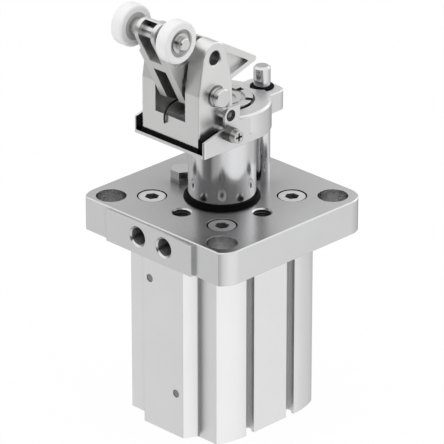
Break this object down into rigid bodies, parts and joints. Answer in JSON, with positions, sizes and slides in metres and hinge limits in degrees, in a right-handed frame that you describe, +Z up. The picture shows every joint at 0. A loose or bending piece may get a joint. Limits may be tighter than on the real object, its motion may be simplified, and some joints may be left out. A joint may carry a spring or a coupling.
{
  "type": "pneumatic pallet stopper",
  "caption": "Pneumatic stopper cylinder with square mounting flange, sliding rod head, leaning toggle lever with two rollers and a shock absorber in the rod.",
  "frame": {"origin": "on the piston rod's axis in the flange's underside, the face that the barrel stands out of", "axes": "+Z up along the piston rod, -Y towards the arriving pallets and the air ports, +X to the right seen from the pallets"},
  "size_m": [0.096, 0.1017, 0.2131],
  "materials": {
    "anodised": "satin",
    "steel_satin": "satin",
    "chrome": "polished",
    "dark_steel": "satin",
    "rubber": "matte",
    "white_plastic": "matte",
    "grey_plastic": "matte",
    "bronze": "satin"
  },
  "bodies": {
    "cylinder": {"flange": "anodised", "barrel": "anodised", "end_cap": "anodised", "end_cap_ring": "dark_steel", "end_cap_seal": "rubber", "flange_seal": "rubber", "rod_bush": "bronze", "rod_seal": "rubber", "wiper_ring": "rubber", "upper_bumper": "rubber", "lower_bumper": "rubber", "clamp_screws": "steel_satin", "guide_rod": "chrome", "stop_screw": "steel_satin", "stop_lock_nut": "dark_steel", "duct_plugs": "steel_satin"},
    "rod_head": {"piston": "anodised", "piston_seals": "rubber", "piston_guide_ring": "grey_plastic", "piston_magnet": "dark_steel", "piston_nut": "steel_satin", "piston_rod": "chrome", "head_plate": "steel_satin", "fork": "steel_satin", "fork_liner": "rubber", "fork_screws": "dark_steel", "ear_screws": "dark_steel", "side_screws": "steel_satin", "ring_nut": "chrome", "guide_bush": "rubber", "pivot_pin": "chrome", "pivot_clips": "dark_steel", "pivot_washers": "steel_satin", "return_spring": "dark_steel", "shock_tube": "steel_satin", "shock_bearing": "bronze", "shock_spring": "dark_steel"},
    "plunger": {"shock_plunger": "chrome"},
    "lever_arm": {"lever": "steel_satin", "lever_bushes": "bronze", "roller_axle": "chrome", "axle_spacers": "chrome", "axle_clips": "dark_steel"},
    "left_roller": {"roller_left": "white_plastic", "roller_bush_left": "grey_plastic"},
    "right_roller": {"roller_right": "white_plastic", "roller_bush_right": "grey_plastic"}
  },
  "joints": [
    {"name": "rod_slide", "type": "slide", "parent": "cylinder", "child": "rod_head", "axis": [0, 0, 1], "range_m": [-0.03, 0]},
    {"name": "lever_tilt", "type": "hinge", "parent": "rod_head", "child": "lever_arm", "pos_m": [0, -0.0225, 0.0793], "axis": [1, 0, 0], "range_deg": [-25, 0], "stiffness_Nm_per_rad": 0.15, "springref_deg": 34.38, "deforming": ["return_spring"]},
    {"name": "shock_press", "type": "slide", "parent": "rod_head", "child": "plunger", "axis": [0, 0, 1], "range_m": [-0.0098, 0], "deforming": ["shock_spring"]},
    {"name": "left_roller_spin", "type": "hinge", "parent": "lever_arm", "child": "left_roller", "pos_m": [-0.0145, -0.04373, 0.11108], "axis": [1, 0, 0], "continuous": true},
    {"name": "right_roller_spin", "type": "hinge", "parent": "lever_arm", "child": "right_roller", "pos_m": [0.0145, -0.04373, 0.11108], "axis": [1, 0, 0], "continuous": true}
  ],
  "couplings": [
    {"joint": "shock_press", "follows": "lever_tilt", "m_per_rad": 0.02178}
  ]
}
